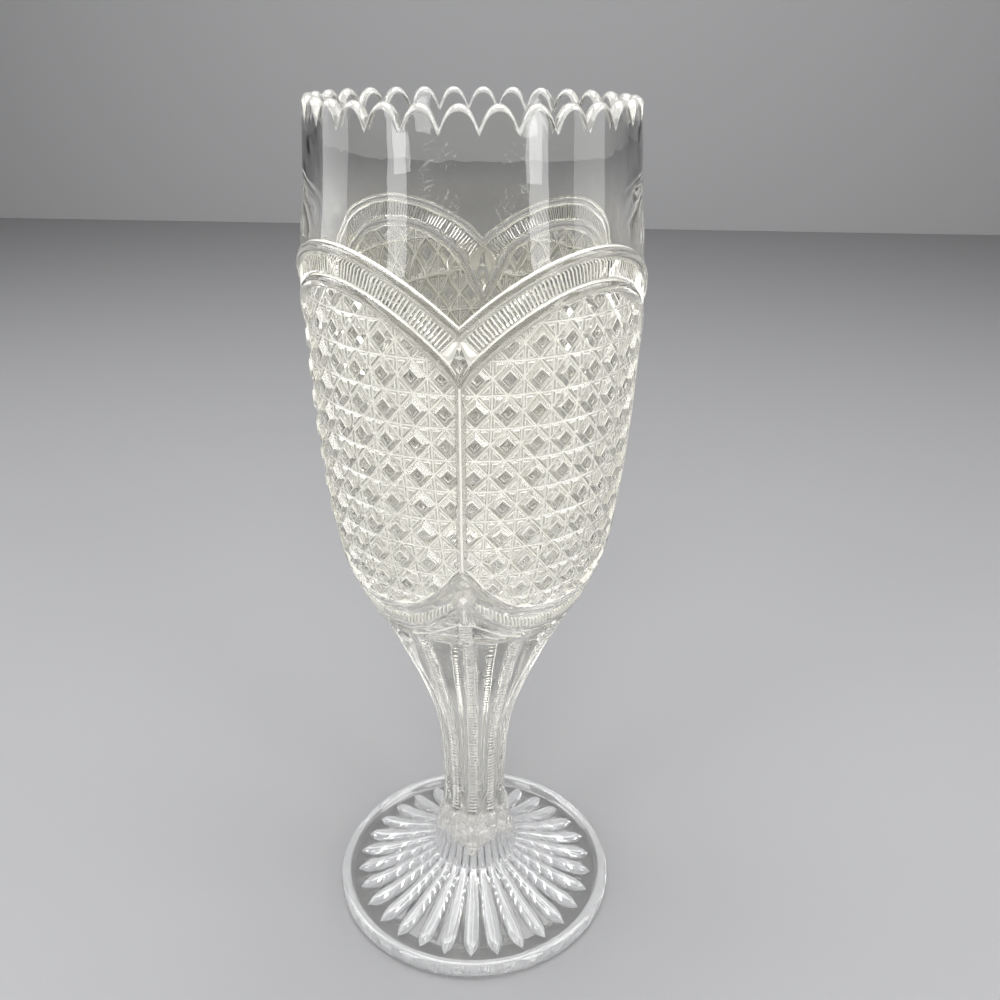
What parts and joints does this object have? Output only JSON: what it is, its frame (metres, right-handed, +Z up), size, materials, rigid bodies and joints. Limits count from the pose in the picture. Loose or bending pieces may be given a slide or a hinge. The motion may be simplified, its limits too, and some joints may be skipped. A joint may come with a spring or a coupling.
{
  "type": "pressed glass vase",
  "caption": "Tall footed flower vase of clear pressed glass: scalloped collar, bowl of arched diamond-lattice panels, ribbed stem and rayed round foot, open at the top.",
  "frame": {"origin": "centre of the flat underside of the foot, on the vase's vertical axis", "axes": "+Z up along the vase's axis of symmetry; -Y is the front, where one of the upright ribs between the bowl's panels stands; +X is to the right seen from the front"},
  "size_m": [0.091, 0.091, 0.25],
  "materials": {
    "clear_glass": "clear colourless pressed glass, glossy, with a faint warm tint where it is thick and slightly uneven fire-polished faces"
  },
  "bodies": {
    "root": {"foot": "clear_glass", "stem": "clear_glass", "bowl": "clear_glass", "rim_collar": "clear_glass"}
  },
  "joints": []
}
